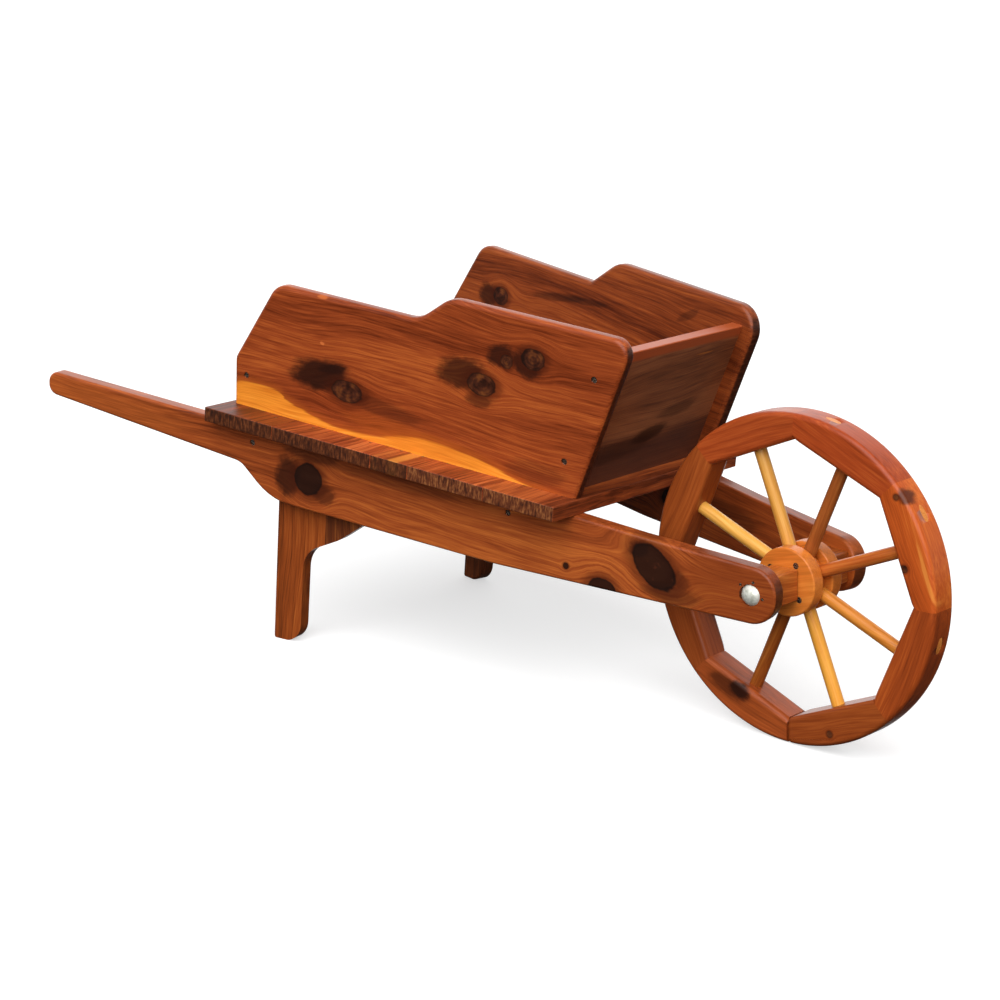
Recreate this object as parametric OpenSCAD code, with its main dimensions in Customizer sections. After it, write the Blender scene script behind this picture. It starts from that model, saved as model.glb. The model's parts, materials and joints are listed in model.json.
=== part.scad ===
// Wooden garden wheelbarrow.
// Two splayed rails run from the wheel to the handles and carry a slatted floor with three
// boards and a low tail board round it. The wheel has eight mitred felloes, eight dowel
// spokes and a screwed hub that turns on one long carriage bolt.
// X points to the wheel, Z is up, and the ground is Z = 0. The right-hand side is -Y.
// The origin is on the ground, half way between the handle tips and the front of the wheel.

/* [Wheel] */
// Diameter over the rim
wheel_d = 406; // [330:1:500]
// Width of the rim
rim_w = 40; // [28:1:50]
// Depth of a felloe at its mitre
felloe_depth = 31.5; // [24:0.5:45]
// Number of felloes, spokes and pegs
felloe_count = 8; // [6:1:10]
// Turn of the first mitre from level
wheel_turn = 2.2; // [-20:0.1:20]
// Diameter of a dowel spoke
spoke_d = 16; // [10:0.5:20]
// Depth of the spoke in the felloe
spoke_seat = 14; // [8:0.5:20]
// Diameter of the peg across a mitre
peg_d = 9.5; // [6:0.5:12]
// Angle along the rim from the mitre back to where its peg goes in
peg_lead = 12.7; // [10:0.1:15]
// Length of the peg past the mitre
peg_tail = 22; // [15:1:26]

/* [Hub and axle] */
// Diameter of the hub discs
hub_d = 84; // [70:1:110]
// Thickness of a hub disc
hub_disc_t = 19; // [14:0.5:24]
// Wood left between a spoke and the hub disc
hub_cheek = 1; // [0.5:0.1:4]
// Diameter of the carriage bolt
bolt_d = 12.7; // [9:0.1:16]
// Diameter of the bolt's domed head
bolt_head_d = 26; // [22:0.5:32]
// Height of the bolt's domed head
bolt_head_h = 7.5; // [5:0.5:10]
// Radial clearance of the hub on the bolt
axle_fit = 0.08; // [0.02:0.01:0.1]
// Gap at each side of the hub
side_play = 0.8; // [0.5:0.1:3]
// Outside diameter of the washer
washer_d = 28; // [24:0.5:34]
// Thickness of the washer
washer_t = 2.5; // [1.5:0.1:4]
// Width of the nut across its flats
nut_flats = 19; // [17:0.5:24]
// Thickness of the nut
nut_t = 10; // [7:0.5:14]
// Wood outside the nails in a spacer block
block_edge = 1.4; // [1:0.1:6]
// Turn of the spacer blocks on the bolt, from square to the rails
block_turn = -8; // [-12:1:12]

/* [Rails] */
// Thickness of a rail
rail_t = 22; // [16:0.5:30]
// Depth of a rail under the floor
rail_h = 90; // [80:1:110]
// Height of the rails' top above the axle, under the floor
rail_rise = 38.5; // [36:0.5:50]
// Depth of a rail at its rounded nose
nose_h = 68; // [60:1:76]
// Width over both rails at the axle
nose_w = 196; // [160:1:240]
// Angle of each rail away from the middle
rail_splay = 9.8; // [5:0.1:13]
// Rise of the rails towards the handles
rail_pitch = 3.75; // [1:0.05:7]
// Distance behind the axle where a rail reaches its full depth
belly_back = 345; // [250:1:420]
// Length of the handles behind the floor
handle_reach = 282; // [200:1:420]
// Rise of a handle's top at its tip, over the line of the rail
handle_lift = 3.5; // [0:0.5:20]
// Depth of a handle at its root
handle_root_h = 50; // [40:1:60]
// Depth of a handle at its tip
handle_tip_h = 31; // [26:1:38]

/* [Floor] */
// Gap between the wheel and the floor
floor_gap = 35.5; // [20:0.5:80]
// Thickness of the floor slats
floor_t = 19; // [12:0.5:25]
// Width of the rear slat
rear_slat_w = 111; // [80:1:170]
// Width of the second slat
second_slat_w = 156; // [100:1:200]
// Width of the middle slat
middle_slat_w = 57; // [40:1:120]
// Width of the fourth slat
fourth_slat_w = 113; // [70:1:170]
// Width of the front slat
front_slat_w = 102; // [80:1:170]
// Width of the ledge outside the side boards
ledge_w = 44; // [20:1:70]

/* [Tray] */
// Width over the side boards at the front of the floor
tray_front_w = 270; // [220:1:330]
// Angle of each side board away from the middle
tray_taper = 7.65; // [3:0.05:11]
// Outward lean of the right side board
right_flare = 2.6; // [0:0.1:5]
// Outward lean of the left side board
left_flare = 1.4; // [0:0.1:5]
// Round of the right side board's front corner
right_corner = 21; // [10:1:40]
// Round of the left side board's front corner
left_corner = 32; // [10:1:40]
// Thickness of a side board
side_t = 18; // [12:0.5:24]
// Height of the side boards at the rear
side_rear_h = 174; // [140:1:200]
// Height of the side boards at the front
side_front_h = 211; // [205:1:260]
// Height of the square tail of a side board
side_tail_h = 63; // [50:1:90]
// Forward slope of the tail's slant, as a share of its rise
tail_slope = 0.594; // [0.3:0.01:0.8]
// Distance from the front of a side board, at the floor, back to the step in its top
step_back = 244; // [200:1:300]
// Angle of the rise at the step
step_angle = 38; // [30:1:50]
// Round of the hollow behind the right side board's step
right_hollow = 50; // [8:1:60]
// Round of the hollow behind the left side board's step
left_hollow = 16; // [8:1:60]
// Forward lean of the side boards' front edge and of the front board
front_lean = 17.9; // [5:0.1:25]
// Distance of the front board behind the side boards' front edge
front_set = 22; // [10:0.5:40]
// Height of the front board
front_h = 186; // [120:1:195]
// Thickness of the front board
front_t = 18; // [12:0.5:24]
// Distance of the tail board inside the side boards' rear edge
tail_set = 11; // [5:0.5:30]
// Height of the tail board
tail_h = 60; // [50:1:90]
// Thickness of the tail board
tail_t = 18; // [12:0.5:24]

/* [Legs] */
// Distance of the legs in front of the floor's rear edge
leg_in = 91; // [82:1:140]
// Width of a leg
leg_w = 41.5; // [34:0.5:54]
// Thickness of a leg
leg_t = 20; // [16:0.5:30]
// Width of a leg at its top
leg_top_w = 76; // [70:1:90]
// Length of the gusset in front of a leg
gusset_l = 68; // [50:1:80]
// Forward rake of a leg from square to the rail
leg_rake = 0.8; // [0:0.1:4]
// Round of the foot's front corner
foot_round = 27; // [10:1:28]

/* [Cleats and fasteners] */
// Thickness of a cleat
cleat_t = 19; // [14:0.5:24]
// Depth of a cleat
cleat_h = 38; // [30:1:44]
// Distance of the rear cleat in front of the floor's rear edge
rear_cleat_in = 61; // [45:1:65]
// Distance of the front cleat behind the floor's front edge
front_cleat_in = 92; // [60:1:140]
// Diameter of a wood screw
screw_d = 4; // [3:0.1:5]
// Diameter of a wood screw's head
screw_head_d = 8; // [6:0.1:9]
// Depth of a screw head under a slanted face
screw_sink = 1.2; // [1:0.1:2]
// Diameter of a nail
nail_d = 2.4; // [1.6:0.1:3]
// Diameter of a nail's head
nail_head_d = 3.6; // [3:0.1:4]
// Radial clearance of a screw, nail, peg or dowel in its hole
wood_fit = 0.05; // [0.02:0.01:0.1]

/* [Hidden] */
$fn = 64;
arc_step = 9;
overcut = 1;
far = 1500;

SIDES = ["right", "left"];
felloe_nodes = [for (i = [1:felloe_count]) str("felloe_", i)];
spoke_nodes = [for (i = [1:felloe_count]) str("spoke_", i)];

// Wheel
wheel_r = wheel_d / 2;
pitch_angle = 360 / felloe_count;
rim_corner_r = wheel_r - felloe_depth;
rim_flat_r = rim_corner_r * cos(pitch_angle / 2);
spoke_r = spoke_d / 2;
spoke_touch_gap = 0.8;
spoke_start = spoke_r / sin(pitch_angle / 2) + spoke_touch_gap;
spoke_end = rim_flat_r + spoke_seat;
peg_depth = felloe_depth / 2;

// Hub, with its screws put in by eye
hub_screw_turn = [60, 150, 230, 320];
hub_screw_r = 0.32 * hub_d;
hub_core_edge = 4;
hub_core_r = hub_screw_r + hub_core_edge;
hub_core_t = spoke_d + 2 * hub_cheek;
hub_half = hub_core_t / 2 + hub_disc_t;
hub_screw_bite = 0.4 * hub_core_t;
hub_screw_set = 0.3;

// Heights in the bed frame, which has its origin on the axle and leans with the rails
nose_r = nose_h / 2;
nose_round = nose_r - 1;
nose_slope = 150;
rail_top = rail_rise;
rail_bottom = rail_top - rail_h;
floor_top = rail_top + floor_t;
rail_y = nose_w / 2;

// Places along the bed, where the axle is 0 and the handles are negative
slat_w = [rear_slat_w, second_slat_w, middle_slat_w, fourth_slat_w, front_slat_w];
floor_front = -(wheel_r + floor_gap);
function total(list, count, i = 0) = i >= count ? 0 : list[i] + total(list, count, i + 1);
floor_rear = floor_front - total(slat_w, len(slat_w));
side_front_in = 3.5;
side_rear_in = 7.5;
side_front = floor_front - side_front_in;
side_rear = floor_rear + side_rear_in;
tip_back = floor_rear - handle_reach;
handle_root = floor_rear + 42;
s_front = handle_root + 50;
leg_back = floor_rear + leg_in;
cleat_x = [floor_front - front_cleat_in, floor_rear + rear_cleat_in];

// Half widths at a place along the bed
function rail_out(x) = rail_y - x * tan(rail_splay);
function rail_in(x) = rail_out(x) - rail_t / cos(rail_splay);
function rail_mid(x) = (rail_out(x) + rail_in(x)) / 2;
function side_out(x) = tray_front_w / 2 + (floor_front - x) * tan(tray_taper);
function floor_out(x) = side_out(x) + ledge_w;
function flare(side) = side == "left" ? left_flare : right_flare;
function side_face(x, h, side) = side_out(x) + h * tan(flare(side)) / cos(tray_taper);
function along_rail(x) = x / cos(rail_splay);
function along_side(x) = x / cos(tray_taper);

// The handle tip's furthest point sets where the axle is
tip_r = handle_tip_h / 2 - 1;
tip_top = rail_top + handle_lift;
tip_low = tip_top - handle_tip_h + tip_r;
reach_x = cos(rail_splay) * cos(rail_pitch);
tip_reach = -(along_rail(tip_back) + tip_r) * reach_x
    + tip_r * norm([reach_x, sin(rail_pitch)])
    + rail_t * sin(rail_splay) * cos(rail_pitch)
    - tip_low * sin(rail_pitch);
axle_x = (tip_reach - wheel_r) / 2;
axle_z = wheel_r;

// Front board
lean = tan(front_lean);
front_face_x = side_front - front_set / cos(front_lean);
front_mid_x = front_face_x - front_t / 2 / cos(front_lean);
front_screw_h = [44, 155];
tail_mid_x = side_rear + tail_set + tail_t / 2;
tail_screw_h = 42;

// Fastener lengths
screw_head_h = screw_head_d / 2 - screw_d / 2 + 0.6;
cleat_screw_l = 48;
panel_screw_l = 42;
floor_screw_l = floor_t + 24;
leg_screw_l = leg_t + rail_t - 6;
leg_screw_v = [-2, -34];
gusset_screw_v = -14;
floor_nail_l = floor_t + 10;
nail_head_h = 1.2;
block_nail_l = rail_t + 22;

// Spacer blocks, with their nails in a ring just outside the bolt's head and washer
seat_gap = 0.3;
block_nail_turn = [142, 80, -3];
block_nail_r = max(bolt_head_d, washer_d) / 2 + seat_gap + nail_head_d / 2 + 0.5;
block_side = 2 * (block_nail_r + nail_d / 2 + block_edge);

// ---- outlines ----

function unit(v) = v / norm(v);

// Points of the arc that rounds one corner, given as [x, y, radius]
function corner_arc(before, corner, after) =
    let (
        at = [corner[0], corner[1]],
        r = corner[2],
        to_before = unit([before[0], before[1]] - at),
        to_after = unit([after[0], after[1]] - at),
        half = acos(to_before * to_after) / 2,
        centre = at + unit(to_before + to_after) * r / sin(half),
        start = at + to_before * r / tan(half) - centre,
        finish = at + to_after * r / tan(half) - centre,
        a0 = atan2(start[1], start[0]),
        sweep = (atan2(finish[1], finish[0]) - a0 + 540) % 360 - 180,
        steps = max(2, ceil(abs(sweep) / arc_step))
    )
    [for (i = [0:steps]) centre + r * [cos(a0 + sweep * i / steps), sin(a0 + sweep * i / steps)]];

// Outline with each corner rounded by its own radius
function rounded(corners) =
    let (n = len(corners))
    [
        for (i = [0:n - 1])
            each (
                corners[i][2] == 0
                ? [[corners[i][0], corners[i][1]]]
                : corner_arc(corners[(i + n - 1) % n], corners[i], corners[(i + 1) % n])
            )
    ];

function rail_outline() =
    rounded([
        [nose_r, nose_r, nose_round],
        [nose_r, -nose_r, nose_round],
        [along_rail(-belly_back), rail_bottom, 300],
        [along_rail(s_front), rail_bottom, 85],
        [along_rail(handle_root), rail_top - handle_root_h, 30],
        [along_rail(tip_back), tip_top - handle_tip_h, tip_r],
        [along_rail(tip_back), tip_top, tip_r],
        [along_rail(floor_rear), rail_top, 0],
        [along_rail(floor_front), rail_top, 0],
        [-nose_slope, nose_r + 0.3 * (rail_top - nose_r), 120]
    ]);

function side_outline(hollow, front_corner) =
    let (
        tail_u = along_side(side_rear),
        front_u = along_side(side_front),
        step_u = front_u - step_back,
        slant_u = tail_u + (side_rear_h - side_tail_h) * tail_slope,
        step_run = (side_front_h - side_rear_h) / tan(step_angle)
    )
    rounded([
        [tail_u, -floor_t / 2, 0],
        [tail_u, side_tail_h, 14],
        [slant_u, side_rear_h, 30],
        [step_u, side_rear_h, hollow],
        [step_u + step_run, side_front_h, 42],
        [front_u + side_front_h * lean, side_front_h, front_corner],
        [front_u - floor_t / 2 * lean, -floor_t / 2, 0]
    ]);

// Leg and gusset are sawn to one curve, which is split at the seam
leg_u = along_rail(leg_back);
seam_u = leg_u + leg_top_w;
gusset_u = seam_u + gusset_l;
leg_top_v = rail_top - 10;
foot_spare = 0.8;
function ground_v(u) = -(axle_z - u * cos(rail_splay) * sin(rail_pitch)) / cos(rail_pitch) - foot_spare;
foot_u = leg_u + (rail_bottom - ground_v(leg_u)) * tan(leg_rake);

function leg_outline() =
    rounded([
        [leg_u, leg_top_v, 0],
        [leg_u, rail_bottom, 0],
        [foot_u, ground_v(foot_u), 4],
        [foot_u + leg_w, ground_v(foot_u + leg_w), foot_round],
        [leg_u + leg_w + 2, rail_bottom - 67, 38],
        [seam_u + 0.33 * gusset_l, rail_bottom - 37, 60],
        [gusset_u, rail_bottom, 0],
        [gusset_u, leg_top_v, 0]
    ]);

// ---- frames ----

// Bed frame: on the axle, leaning with the rails
module bed() {
    translate([axle_x, 0, axle_z])
        rotate([0, rail_pitch, 0])
            children();
}

// Right-hand pieces are drawn as they are, left-hand ones are their mirror image
module on_side(side) {
    mirror([0, side == "left" ? 1 : 0, 0])
        children();
}

// Rail frame: X along the rail, Y from its outer face inwards
module on_rail() {
    translate([0, -rail_y, 0])
        rotate([0, 0, rail_splay])
            children();
}

// Side frame: X along the board, Y from its outer face inwards, Z up the board
module on_side_board(side) {
    translate([floor_front, -side_out(floor_front), floor_top])
        rotate([0, 0, tray_taper])
            translate([-along_side(floor_front), 0, 0])
                rotate([flare(side), 0, 0])
                    children();
}

// Board of thickness t with its outline in X and Z, from Y = 0 inwards
module board(outline, t) {
    translate([0, t, 0])
        rotate([90, 0, 0])
            linear_extrude(t)
                polygon(outline);
}

// Points an upright fastener along +Y, with its head at the -Y end
module driven_inwards() {
    rotate([90, 0, 0])
        children();
}

// Wheel frame: Z along the axle, towards the right-hand side, X towards the first mitre
module in_wheel() {
    translate([axle_x, 0, axle_z])
        rotate([90, 0, 0])
            children();
}

// ---- fasteners ----

// Countersunk screw with its head's face at Z = 0, pointing down
module screw(length, fit = 0) {
    head_r = screw_head_d / 2 + fit;
    shank_r = screw_d / 2 + fit;
    above = fit > 0 ? screw_sink + overcut : 0;
    rotate_extrude()
        polygon([
            [0, above],
            [head_r, above],
            [head_r, -0.6],
            [shank_r, -screw_head_h],
            [shank_r, -length + screw_d - fit],
            [0, -length - fit]
        ]);
}

// Flat-headed nail with its head's face at Z = 0, pointing down
module nail(length, fit = 0) {
    head_r = nail_head_d / 2 + fit;
    shank_r = nail_d / 2 + fit;
    above = fit > 0 ? overcut : 0;
    rotate_extrude()
        polygon([
            [0, above],
            [head_r, above],
            [head_r, -nail_head_h],
            [shank_r, -nail_head_h],
            [shank_r, -length + nail_d - fit],
            [0, -length - fit]
        ]);
}

// Screws from the outside of a rail into the end of each cleat
module cleat_screw_set(side, fit = 0) {
    bed()
        on_side(side)
            for (x = cleat_x)
                translate([x, -rail_out(x) + screw_sink, rail_top - cleat_h / 2])
                    driven_inwards()
                        screw(cleat_screw_l, fit);
}

// Screws from the inside of a leg and its gusset into the rail
module leg_screw_set(side, fit = 0) {
    bed()
        on_side(side)
            on_rail()
                translate([0, rail_t + leg_t, 0])
                    rotate([-90, 0, 0]) {
                        for (v = leg_screw_v)
                            translate([(leg_u + seam_u) / 2, -v, 0])
                                screw(leg_screw_l, fit);
                        translate([(seam_u + gusset_u) / 2, -gusset_screw_v, 0])
                            screw(leg_screw_l, fit);
                    }
}

// Screws through a side board into the ends of the front board and the tail board
module panel_screw_set(side, fit = 0) {
    places = concat(
        [for (h = front_screw_h) [front_mid_x + h * lean, h]],
        [[tail_mid_x, tail_screw_h]]
    );
    bed()
        on_side(side)
            for (at = places)
                translate([at[0], -side_face(at[0], at[1], side) + screw_sink, floor_top + at[1]])
                    driven_inwards()
                        screw(panel_screw_l, fit);
}

// Screws up through the floor into the front board and the tail board
module floor_screw_set(fit = 0) {
    bite_h = 12;
    places = concat(
        [for (y = [-55, 0, 55]) [front_mid_x + bite_h * lean, y]],
        [for (y = [-95, 0, 95]) [tail_mid_x, y]]
    );
    bed()
        for (at = places)
            translate([at[0], at[1], rail_top])
                rotate([180, 0, 0])
                    screw(floor_screw_l, fit);
}

// Nails down through each slat into the rails
module floor_nail_set(fit = 0) {
    bed()
        for (i = [0:len(slat_w) - 1])
            for (step = [0.22, 0.78])
                for (turn = [-1, 1]) {
                    x = floor_rear + total(slat_w, i) + step * slat_w[i];
                    translate([x, turn * rail_mid(x), floor_top])
                        nail(floor_nail_l, fit);
                }
}

// Nails from the outside of a rail into its spacer block
module block_nail_set(side, fit = 0) {
    bed()
        on_side(side)
            on_rail()
                for (turn = block_nail_turn)
                    translate([block_nail_r * cos(turn), 0, block_nail_r * sin(turn)])
                        driven_inwards()
                            nail(block_nail_l, fit);
}

// Screws from the outside of each hub disc into the core and the spokes' ends
module hub_screw_set(fit = 0) {
    in_wheel()
        for (turn = hub_screw_turn)
            rotate([0, 0, turn])
                translate([hub_screw_r, 0, 0])
                    for (flip = [0, 180])
                        rotate([flip, 0, 0])
                            translate([0, 0, hub_half - hub_screw_set])
                                screw(hub_disc_t + hub_screw_bite, fit);
}

// ---- frame pieces ----

// Cylinder along the axle, from y0 to y1
module axle_rod(r, y0, y1) {
    translate([axle_x, y1, axle_z])
        rotate([90, 0, 0])
            cylinder(r = r, h = y1 - y0);
}

head_seat_y = rail_y - bolt_head_d / 2 * tan(rail_splay);
washer_seat_y = rail_y - washer_d / 2 * tan(rail_splay);

module rail(side) {
    head_side = side == "right";
    seat_y = head_side ? head_seat_y : washer_seat_y;
    seat_r = (head_side ? bolt_head_d : washer_d) / 2 + seat_gap;
    difference() {
        bed()
            on_side(side)
                on_rail()
                    board(rail_outline(), rail_t);
        axle_rod(bolt_d / 2 + wood_fit, -far, far);
        if (head_side)
            axle_rod(seat_r, -seat_y - 20, -seat_y);
        else
            axle_rod(seat_r, seat_y, seat_y + 20);
        cleat_screw_set(side, wood_fit);
        leg_screw_set(side, wood_fit);
        block_nail_set(side, wood_fit);
        floor_nail_set(wood_fit);
    }
}

module rail_right() {
    color([0.58, 0.23, 0.09])
        rail("right");
}

module rail_left() {
    color([0.58, 0.23, 0.09])
        rail("left");
}

// Leg and gusset in one curve, cut level with the ground
module leg_and_gusset(side) {
    difference() {
        bed()
            on_side(side)
                on_rail()
                    translate([0, rail_t, 0])
                        board(leg_outline(), leg_t);
        translate([-far, -far, -200])
            cube([2 * far, 2 * far, 200]);
        leg_screw_set(side, wood_fit);
    }
}

// Half space in front of or behind the seam
module past_seam(side, from) {
    bed()
        on_side(side)
            on_rail()
                translate([from, 0, -far / 2])
                    cube([far, 200, far]);
}

module leg(side) {
    difference() {
        leg_and_gusset(side);
        past_seam(side, seam_u);
    }
}

module gusset(side) {
    intersection() {
        leg_and_gusset(side);
        past_seam(side, seam_u);
    }
}

module leg_right() {
    color([0.60, 0.27, 0.10])
        leg("right");
}

module leg_left() {
    color([0.60, 0.27, 0.10])
        leg("left");
}

module gusset_right() {
    color([0.60, 0.27, 0.10])
        gusset("right");
}

module gusset_left() {
    color([0.60, 0.27, 0.10])
        gusset("left");
}

// Cleat between the rails, with its ends sawn to their splay
module cleat(x) {
    front = x + cleat_t / 2;
    back = x - cleat_t / 2;
    difference() {
        bed()
            translate([0, 0, rail_top - cleat_h])
                linear_extrude(cleat_h)
                    polygon([
                        [front, -rail_in(front)],
                        [front, rail_in(front)],
                        [back, rail_in(back)],
                        [back, -rail_in(back)]
                    ]);
        cleat_screw_set("right", wood_fit);
        cleat_screw_set("left", wood_fit);
    }
}

module front_cleat() {
    color([0.55, 0.22, 0.08])
        cleat(cleat_x[0]);
}

module rear_cleat() {
    color([0.55, 0.22, 0.08])
        cleat(cleat_x[1]);
}

// ---- tray ----

module floor_slat(i) {
    back = floor_rear + total(slat_w, i - 1);
    front = back + slat_w[i - 1];
    color([0.55, 0.21, 0.10])
        difference() {
            bed()
                translate([0, 0, rail_top])
                    linear_extrude(floor_t)
                        polygon([
                            [front, -floor_out(front)],
                            [front, floor_out(front)],
                            [back, floor_out(back)],
                            [back, -floor_out(back)]
                        ]);
            floor_nail_set(wood_fit);
            floor_screw_set(wood_fit);
        }
}

// Space above the floor, from the floor up to height h
module over_floor(h) {
    bed()
        translate([-far, -far, floor_top])
            cube([2 * far, 2 * far, h]);
}

// Space outside the inner face of a side board
module outside_board(side) {
    bed()
        on_side(side)
            on_side_board(side)
                translate([-far, side_t - far, -far / 2])
                    cube([2 * far, far, far]);
}

module side_board(side) {
    hollow = side == "left" ? left_hollow : right_hollow;
    corner = side == "left" ? left_corner : right_corner;
    difference() {
        intersection() {
            bed()
                on_side(side)
                    on_side_board(side)
                        board(side_outline(hollow, corner), side_t);
            over_floor(far);
        }
        panel_screw_set(side, wood_fit);
    }
}

module side_board_right() {
    color([0.60, 0.24, 0.10])
        side_board("right");
}

module side_board_left() {
    color([0.60, 0.24, 0.10])
        side_board("left");
}

// Upright board across the tray, fitted between the side boards
module cross_board(mid_x, t, h, angle) {
    difference() {
        intersection() {
            bed()
                translate([mid_x, 0, floor_top])
                    rotate([0, angle, 0])
                        translate([-t / 2, -far / 2, -far / 2])
                            cube([t, far, far]);
            over_floor(h);
        }
        for (side = SIDES) {
            outside_board(side);
            panel_screw_set(side, wood_fit);
        }
        floor_screw_set(wood_fit);
    }
}

module front_board() {
    color([0.50, 0.19, 0.08])
        cross_board(front_mid_x, front_t, front_h, front_lean);
}

module tail_board() {
    color([0.50, 0.19, 0.08])
        cross_board(tail_mid_x, tail_t, tail_h, 0);
}

// ---- axle ----

// Space outside the inner face of a rail
module outside_rail(side) {
    bed()
        on_side(side)
            on_rail()
                translate([-far, rail_t - far, -far])
                    cube([2 * far, far, 2 * far]);
}

// Square block that holds the rail off the hub
module spacer_block(side) {
    half = block_side / 2;
    end_y = hub_half + side_play;
    difference() {
        bed()
            on_side(side)
                rotate([0, block_turn, 0])
                    translate([-half, -rail_y, -half])
                        cube([block_side, rail_y - end_y, block_side]);
        outside_rail(side);
        axle_rod(bolt_d / 2 + wood_fit, -far, far);
        block_nail_set(side, wood_fit);
    }
}

module spacer_block_right() {
    color([0.66, 0.33, 0.13])
        spacer_block("right");
}

module spacer_block_left() {
    color([0.66, 0.33, 0.13])
        spacer_block("left");
}

nut_seat_y = washer_seat_y + washer_t;
bolt_end_y = nut_seat_y + nut_t + 4;

// Carriage bolt with a domed head on the right and its end past the nut on the left
module axle_bolt() {
    head_r = bolt_head_d / 2;
    dome_r = (head_r * head_r + bolt_head_h * bolt_head_h) / (2 * bolt_head_h);
    color([0.72, 0.73, 0.70]) {
        axle_rod(bolt_d / 2, -head_seat_y - bolt_head_h / 2, bolt_end_y);
        intersection() {
            axle_rod(head_r, -head_seat_y - bolt_head_h, -head_seat_y);
            translate([axle_x, -head_seat_y - bolt_head_h + dome_r, axle_z])
                sphere(r = dome_r);
        }
    }
}

module axle_washer() {
    color([0.70, 0.71, 0.70])
        difference() {
            axle_rod(washer_d / 2, washer_seat_y, nut_seat_y);
            axle_rod(bolt_d / 2 + wood_fit, -far, far);
        }
}

module axle_nut() {
    corner_r = nut_flats / 2 / cos(30);
    color([0.68, 0.69, 0.68])
        difference() {
            translate([axle_x, nut_seat_y + nut_t, axle_z])
                rotate([90, 0, 0])
                    cylinder(r = corner_r, h = nut_t, $fn = 6);
            axle_rod(bolt_d / 2 + wood_fit, -far, far);
        }
}

// ---- wheel ----

// Dowel along a spoke line, from radius r0 to r1
module spoke_rod(i, r, r0, r1) {
    in_wheel()
        rotate([0, 0, wheel_turn + (i - 0.5) * pitch_angle])
            translate([r0, 0, 0])
                rotate([0, 90, 0])
                    cylinder(r = r, h = r1 - r0);
}

// Slanted peg hole or peg at mitre i, long enough to stand out of the rim
module peg_rod(i, r) {
    entry = wheel_r * [cos(-peg_lead), sin(-peg_lead)];
    crossing = [wheel_r - peg_depth, 0];
    run = crossing - entry;
    stand_out = 20;
    in_wheel()
        rotate([0, 0, wheel_turn + i * pitch_angle])
            translate([entry[0], entry[1], 0])
                rotate([0, 0, atan2(run[1], run[0])])
                    rotate([0, 90, 0])
                        translate([0, 0, -stand_out])
                            cylinder(r = r, h = stand_out + norm(run) + peg_tail);
}

// Felloe i runs from mitre i - 1 to mitre i, round outside and flat inside
module felloe(i) {
    a0 = wheel_turn + (i - 1) * pitch_angle;
    a1 = a0 + pitch_angle;
    outer = 1.3 * wheel_r;
    color([0.66, 0.24, 0.08])
        difference() {
            in_wheel()
                intersection() {
                    cylinder(r = wheel_r, h = rim_w, center = true);
                    linear_extrude(rim_w + 2 * overcut, center = true)
                        polygon([
                            rim_corner_r * [cos(a0), sin(a0)],
                            outer * [cos(a0), sin(a0)],
                            outer * [cos(a1), sin(a1)],
                            rim_corner_r * [cos(a1), sin(a1)]
                        ]);
                }
            spoke_rod(i, spoke_r + wood_fit, spoke_start, spoke_end + wood_fit);
            peg_rod(i - 1, peg_d / 2 + wood_fit);
            peg_rod(i, peg_d / 2 + wood_fit);
        }
}

module spoke(i) {
    color([0.86, 0.60, 0.20])
        difference() {
            spoke_rod(i, spoke_r, spoke_start, spoke_end);
            hub_screw_set(wood_fit);
        }
}

// Pegs across the mitres, sawn flush with the rim
module rim_pegs() {
    color([0.90, 0.58, 0.22])
        for (i = [1:felloe_count])
            intersection() {
                peg_rod(i, peg_d / 2);
                in_wheel()
                    cylinder(r = wheel_r, h = rim_w, center = true);
            }
}

// Short turning along the axle with the running bore through it
module hub_turning(r, y0, y1) {
    difference() {
        axle_rod(r, y0, y1);
        axle_rod(bolt_d / 2 + axle_fit, -far, far);
        hub_screw_set(wood_fit);
    }
}

module hub_core() {
    color([0.78, 0.50, 0.18])
        difference() {
            hub_turning(hub_core_r, -hub_core_t / 2, hub_core_t / 2);
            for (i = [1:felloe_count])
                spoke_rod(i, spoke_r + wood_fit, spoke_start - wood_fit, hub_core_r + overcut);
        }
}

module hub_disc_right() {
    color([0.80, 0.50, 0.18])
        hub_turning(hub_d / 2, -hub_half, -hub_core_t / 2);
}

module hub_disc_left() {
    color([0.80, 0.50, 0.18])
        hub_turning(hub_d / 2, hub_core_t / 2, hub_half);
}

// ---- fastener nodes ----

module hub_screws() {
    color([0.35, 0.30, 0.24])
        hub_screw_set();
}

module cleat_screws() {
    color([0.20, 0.16, 0.14])
        for (side = SIDES)
            cleat_screw_set(side);
}

module leg_screws() {
    color([0.20, 0.16, 0.14])
        for (side = SIDES)
            leg_screw_set(side);
}

module panel_screws() {
    color([0.20, 0.16, 0.14])
        for (side = SIDES)
            panel_screw_set(side);
}

module floor_screws() {
    color([0.20, 0.16, 0.14])
        floor_screw_set();
}

module floor_nails() {
    color([0.30, 0.27, 0.25])
        floor_nail_set();
}

module block_nails() {
    color([0.30, 0.27, 0.25])
        for (side = SIDES)
            block_nail_set(side);
}

// ---- nodes ----

rail_right();
rail_left();
leg_right();
leg_left();
gusset_right();
gusset_left();
front_cleat();
rear_cleat();
for (i = [1:len(slat_w)])
    floor_slat(i);
side_board_right();
side_board_left();
front_board();
tail_board();
spacer_block_right();
spacer_block_left();
axle_bolt();
axle_washer();
axle_nut();
for (i = [1:felloe_count])
    felloe(i);
for (i = [1:felloe_count])
    spoke(i);
rim_pegs();
hub_core();
hub_disc_right();
hub_disc_left();
hub_screws();
cleat_screws();
leg_screws();
panel_screws();
floor_screws();
floor_nails();
block_nails();
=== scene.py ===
import json
import math

import bmesh
import bpy
from mathutils import Matrix, Vector


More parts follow.
